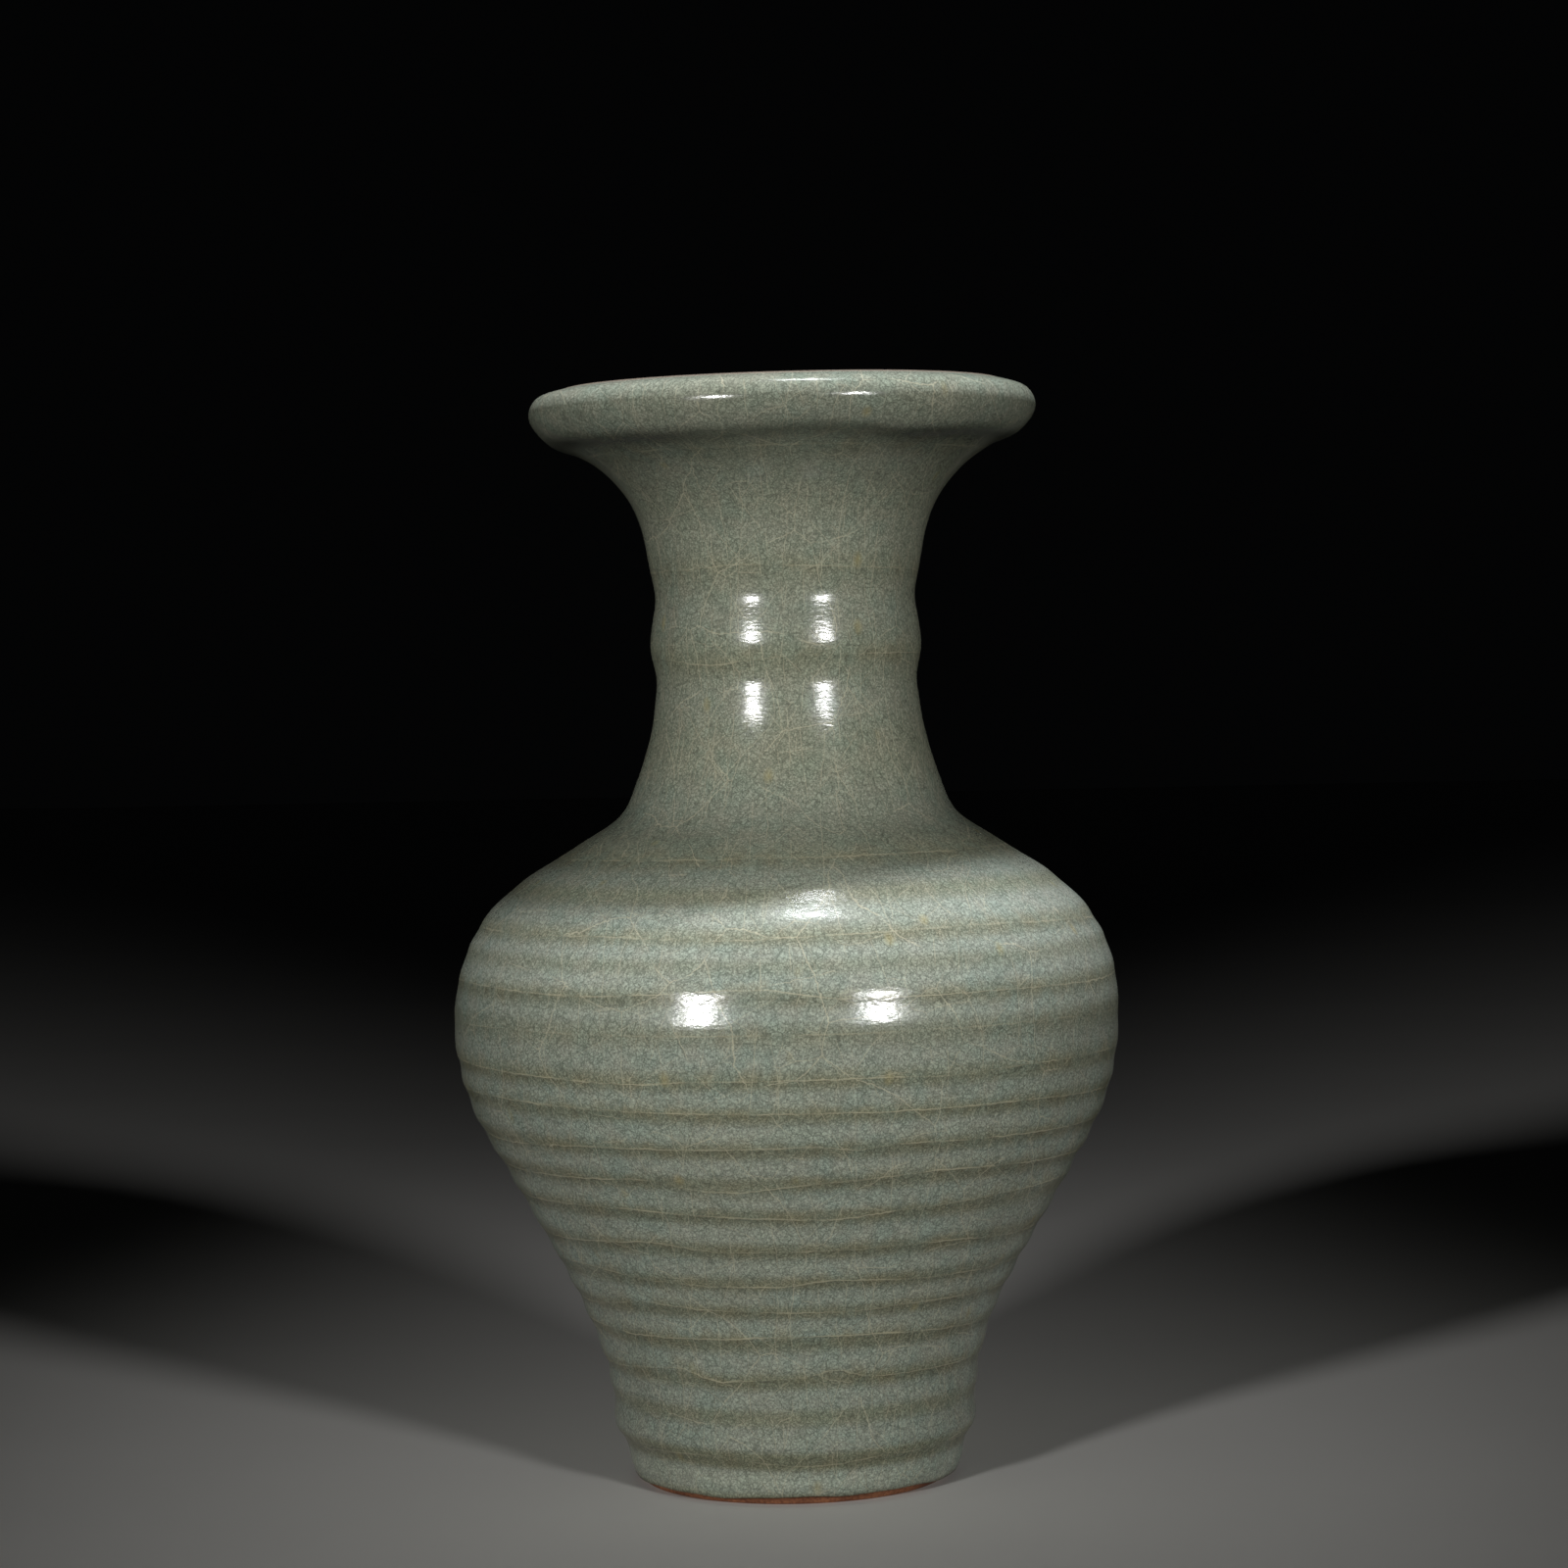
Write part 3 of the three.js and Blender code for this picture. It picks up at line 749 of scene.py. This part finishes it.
def stained(tree, mm, colour, fleck):
    """Small golden stains, taller than wide."""
    tall = add_node(tree, "VectorMath", {0: mm, 1: (1.0, 1.0, 0.6)}, operation="MULTIPLY").outputs[0]
    spot = add_node(tree, "TexVoronoi", {"Vector": tall, "Scale": 1 / STAIN_SPACING},
                    feature="F1").outputs[0]
    stain = add_node(tree, "MapRange", {0: spot, 1: 0.02, 2: 0.12, 3: 0.36, 4: 0.0}).outputs[0]
    stain = add_node(tree, "Math", {0: stain, 1: fleck}, operation="MULTIPLY").outputs[0]
    return add_node(tree, "Mix", {0: stain, 6: colour, 7: linear(STAIN_GOLD)},
                    data_type="RGBA").outputs[2]


def painted_crease_shade(tree, height, colour):
    """Painted shade: darkens the glaze in the crease at the neck's root, under the lip and in its crease."""
    for middle, least, most, darkest in SHADE_PAINTED_IN_CREASES:
        away = add_node(tree, "Math", {0: height, 1: middle}, operation="SUBTRACT").outputs[0]
        away = add_node(tree, "Math", {0: away}, operation="ABSOLUTE").outputs[0]
        dark = add_node(tree, "MapRange", {0: away, 1: least, 2: most, 3: darkest, 4: 1.0}).outputs[0]
        colour = add_node(tree, "VectorMath", {0: colour, 3: dark}, operation="SCALE").outputs[0]
    # Painted shade on the flare under the lip, lifted again on the lip itself
    flare = add_node(tree, "MapRange", {0: height, 1: 256.0, 2: 278.0, 3: 1.0, 4: 0.78}).outputs[0]
    lip = add_node(tree, "MapRange", {0: height, 1: 280.0, 2: 290.0, 3: 0.0, 4: 0.2}).outputs[0]
    dark = add_node(tree, "Math", {0: flare, 1: lip}, operation="ADD").outputs[0]
    return add_node(tree, "VectorMath", {0: colour, 3: dark}, operation="SCALE").outputs[0]


def thin_at_rim(tree, colour):
    """The glaze ran thin at the crest of the lip, and the clay shows through."""
    rim = add_node(tree, "Attribute", attribute_name="rim_distance").outputs["Fac"]
    thin = add_node(tree, "MapRange", {0: rim, 1: 0.6, 2: 2.6, 3: 0.6, 4: 0.0}).outputs[0]
    return add_node(tree, "Mix", {0: thin, 6: colour, 7: linear(CLAY_THROUGH_GLAZE)},
                    data_type="RGBA").outputs[2]


def dimpled(tree, mm):
    """Fine dimples, drawn out along the throwing, that break reflections up."""
    drawn = add_node(tree, "VectorMath", {0: mm, 1: (0.5, 0.5, 1.3)}, operation="MULTIPLY").outputs[0]
    dimple = add_node(tree, "TexNoise", {"Vector": drawn, "Scale": 1.0, "Detail": 2.0}).outputs[0]
    peel = add_node(tree, "TexNoise", {"Vector": mm, "Scale": 1 / PEEL_SIZE, "Detail": 1.0}).outputs[0]
    uneven = add_node(tree, "Math", {0: peel, 1: 1.5, 2: dimple}, operation="MULTIPLY_ADD").outputs[0]
    return add_node(tree, "Bump", {"Height": uneven, "Distance": 0.06 * MM, "Strength": 1.0}).outputs[0]


def celadon(name, ringed):
    """Stoneware celadon: a thick grey-green glaze, glossy and faintly cloudy, crazed all over into
    a fine dark web, and marked by golden cracks along the throwing rings and hairlines across them."""
    material, tree, shader = new_material(name)
    place = add_node(tree, "TexCoord").outputs["Object"]
    mm = add_node(tree, "VectorMath", {0: place, 3: 1000.0}, operation="SCALE").outputs[0]
    part = add_node(tree, "SeparateXYZ", {0: mm})
    height = part.outputs[2]
    mottle = add_node(tree, "TexNoise", {"Vector": mm, "Scale": 1 / MOTTLE_SIZE, "Detail": 3.0}).outputs[0]
    wobble = add_node(tree, "TexNoise", {"Vector": mm, "Scale": 1 / WOBBLE_SIZE, "Detail": 1.0}).outputs[1]
    colour, mottled = clouded_green(tree, mm, mottle)
    colour, fleck = grained(tree, mm, colour)
    colour = crazed(tree, mm, colour, mottle, wobble)
    colour = olive_tint_and_painted_shade(tree, height, colour)
    if ringed:
        jag = add_node(tree, "TexNoise", {"Vector": mm, "Scale": 1 / JAG_SIZE, "Detail": 2.0}).outputs[0]
        jag = add_node(tree, "Math", {0: jag, 1: 0.5}, operation="SUBTRACT").outputs[0]
        coming = add_node(tree, "TexNoise", {"Vector": mm, "Scale": 1 / PATCH_SIZE, "Detail": 2.5}).outputs[0]
        colour = painted_ring_shade(tree, height, colour)
        colour = golden_lines_and_painted_shadow(tree, colour, mottled, jag, coming)
        colour = hairlined(tree, mm, part, colour, wobble, jag, coming)
        colour = stained(tree, mm, colour, fleck)
    colour = painted_crease_shade(tree, height, colour)
    colour = thin_at_rim(tree, colour)
    tree.links.new(colour, shader.inputs["Base Color"])
    tree.links.new(dimpled(tree, mm), shader.inputs["Normal"])

    # Glassy, with the edges of its gleams a little soft
    shader.inputs["Roughness"].default_value = 0.2
    shader.inputs["IOR"].default_value = 1.5
    return material


def stoneware(name, pale, dark, grain):
    """Bare fired stoneware: matt and gritty, darker in patches of 9 mm where the iron came to the
    surface. Its grain is a size in millimetres."""
    material, tree, shader = new_material(name)
    place = add_node(tree, "TexCoord").outputs["Object"]
    mm = add_node(tree, "VectorMath", {0: place, 3: 1000.0}, operation="SCALE").outputs[0]
    grit = add_node(tree, "TexNoise", {"Vector": mm, "Scale": 1 / grain, "Detail": 6.0}).outputs[0]
    broad = add_node(tree, "TexNoise", {"Vector": mm, "Scale": 1 / CLAY_PATCH, "Detail": 3.0}).outputs[0]
    share = add_node(tree, "Math", {0: grit, 1: broad}, operation="MULTIPLY").outputs[0]
    share = add_node(tree, "MapRange", {0: share, 1: 0.15, 2: 0.38}).outputs[0]
    colour = add_node(tree, "Mix", {0: share, 6: linear(dark), 7: linear(pale)}, data_type="RGBA")
    tree.links.new(colour.outputs[2], shader.inputs["Base Color"])
    bump = add_node(tree, "Bump", {"Height": grit, "Distance": 0.25 * MM})
    tree.links.new(bump.outputs[0], shader.inputs["Normal"])
    shader.inputs["Roughness"].default_value = 0.85
    return material


FINISHES = {
    "outside_celadon": celadon("crackled_celadon_outside", ringed=True),
    "inside_celadon": celadon("crackled_celadon_inside", ringed=False),
    "base_celadon": celadon("crackled_celadon_base", ringed=False),
    "foot_clay": stoneware("bare_stoneware_foot", "#A46C49", "#6A3E28", 0.8),
    "body_clay": stoneware("stoneware_under_glaze", "#9C9182", "#7D7365", 0.8),
    "seam_slip": stoneware("joining_slip", "#ADA496", "#91887A", 0.5),
}
STANDS_FOR = (
    (outer_coat, "outer_glaze", "outside_celadon"),
    (inner_coat, "inner_glaze", "inside_celadon"),
    (base_coat, "base_glaze", "base_celadon"),
    (bare_foot, "foot_ring", "foot_clay"),
    (lower_clay, "lower_body", "body_clay"),
    (upper_clay, "upper_body", "body_clay"),
    (neck_clay, "neck", "body_clay"),
    (mouth_clay, "dish_mouth", "body_clay"),
    (foot_seam, "foot_slip", "seam_slip"),
    (belly_seam, "belly_slip", "seam_slip"),
    (shoulder_seam, "shoulder_slip", "seam_slip"),
    (mouth_seam, "mouth_slip", "seam_slip"),
)
for piece, node_name, slot_name in STANDS_FOR:
    settle(piece)
    piece.data.materials.clear()
    piece.data.materials.append(FINISHES[slot_name])
    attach(piece, "root")
    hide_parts(node_name)


# The studio: a pale floor, two soft lamps in front, two overhead and one behind


def floor_paper():
    """Matt pale paper, faintly uneven over about 110 mm."""
    material, tree, shader = new_material("matt_floor_paper")
    place = add_node(tree, "TexCoord").outputs["Object"]
    fibre = add_node(tree, "TexNoise", {"Vector": place, "Scale": 9.0, "Detail": 5.0}).outputs[0]
    colour = add_node(tree, "Mix", {0: fibre, 6: linear("#D0CECA"), 7: linear("#D8D6D2")},
                      data_type="RGBA")
    tree.links.new(colour.outputs[2], shader.inputs["Base Color"])
    shader.inputs["Roughness"].default_value = 0.9
    return material


FLOOR_SIZE = 12
deselect_all()
bpy.ops.mesh.primitive_plane_add(size=FLOOR_SIZE, location=(0, 0, 0))
floor = bpy.context.object
floor.name = "floor"
floor.data.materials.append(floor_paper())


def soft_lamp(name, place, aim, size, spread, watts, colour, shines_on):
    """A soft oval lamp at a place, facing a height on the vase's axis, with its width and depth and
    its beam's spread in degrees. It shines only on the given things."""
    turn = (Vector((0, 0, aim)) - Vector(place)).to_track_quat("-Z", "Y").to_euler()
    bpy.ops.object.light_add(type="AREA", location=place, rotation=turn)
    lamp = bpy.context.object
    lamp.name = name
    lamp.data.shape = "ELLIPSE"
    lamp.data.size, lamp.data.size_y = size
    lamp.data.spread = math.radians(spread)
    lamp.data.energy = watts
    lamp.data.color = linear(colour)[:3]
    lit = bpy.data.collections.new("lit_by_" + name)
    for thing in shines_on:
        lit.objects.link(thing)
    lamp.light_linking.receiver_collection = lit
    return lamp


# Two soft lamps in front make the pairs of highlights on the belly and the neck
vase = [piece for piece, node_name, slot_name in STANDS_FOR]
soft_lamp("left_lamp", (-0.735, -1.273, 0.469), aim=0.17, size=(0.18, 0.15), spread=28, watts=0.33,
          colour="#FFFFFF", shines_on=[*vase, floor])
soft_lamp("right_lamp", (0.75, -1.248, 0.466), aim=0.17, size=(0.25, 0.15), spread=28, watts=0.28,
          colour="#FFFFFF", shines_on=[*vase, floor])

# The lamp overhead throws the mouth's shadow on the shoulder, and leaves no reflection
top_lamp = soft_lamp("top_lamp", (0.1, -0.006, 1.42), aim=0.16, size=(0.06, 0.2), spread=120, watts=12.5,
                     colour="#EFF2FF", shines_on=vase)
top_lamp.visible_glossy = False

# A dim lamp at the same place makes only the soft gleam on the shoulder and the lip
gleam_lamp = soft_lamp("gleam_lamp", (0.1, -0.01, 1.42), aim=0.16, size=(0.08, 0.24), spread=120, watts=1.3,
                       colour="#F8FBFF", shines_on=vase)
gleam_lamp.visible_diffuse = False

# A wide lamp behind lights the back of the vase, and leaves no reflection
back_lamp = soft_lamp("back_lamp", (0, 1.5, 0.4), aim=0.16, size=(0.6, 0.6), spread=120, watts=4,
                      colour="#FFFFFF", shines_on=vase)
back_lamp.visible_glossy = False

# The room is nearly dark
world = bpy.data.worlds.new("studio")
world.use_nodes = True
world.node_tree.nodes["Background"].inputs["Color"].default_value = linear("#8E9296")
world.node_tree.nodes["Background"].inputs["Strength"].default_value = 0.004
bpy.context.scene.world = world

# The camera is level with the neck's raised ring and looks slightly down, tilted a little to one side
CAMERA_DISTANCE = 1.085
CAMERA_HEIGHT = 0.2214
CAMERA_ASIDE = 0.0005
CAMERA_PITCH = 1.643
CAMERA_ROLL = 1.1
level_camera = Quaternion((1, 0, 0), math.radians(90 - CAMERA_PITCH))
rolled_camera = level_camera @ Quaternion((0, 0, 1), math.radians(-CAMERA_ROLL))
bpy.ops.object.camera_add(location=(CAMERA_ASIDE, -CAMERA_DISTANCE, CAMERA_HEIGHT),
                          rotation=rolled_camera.to_euler())
camera = bpy.context.object
camera.data.sensor_width = 36
camera.data.lens = 90.7
camera.data.clip_end = 50
bpy.context.scene.camera = camera
bpy.context.scene.view_settings.view_transform = "Standard"
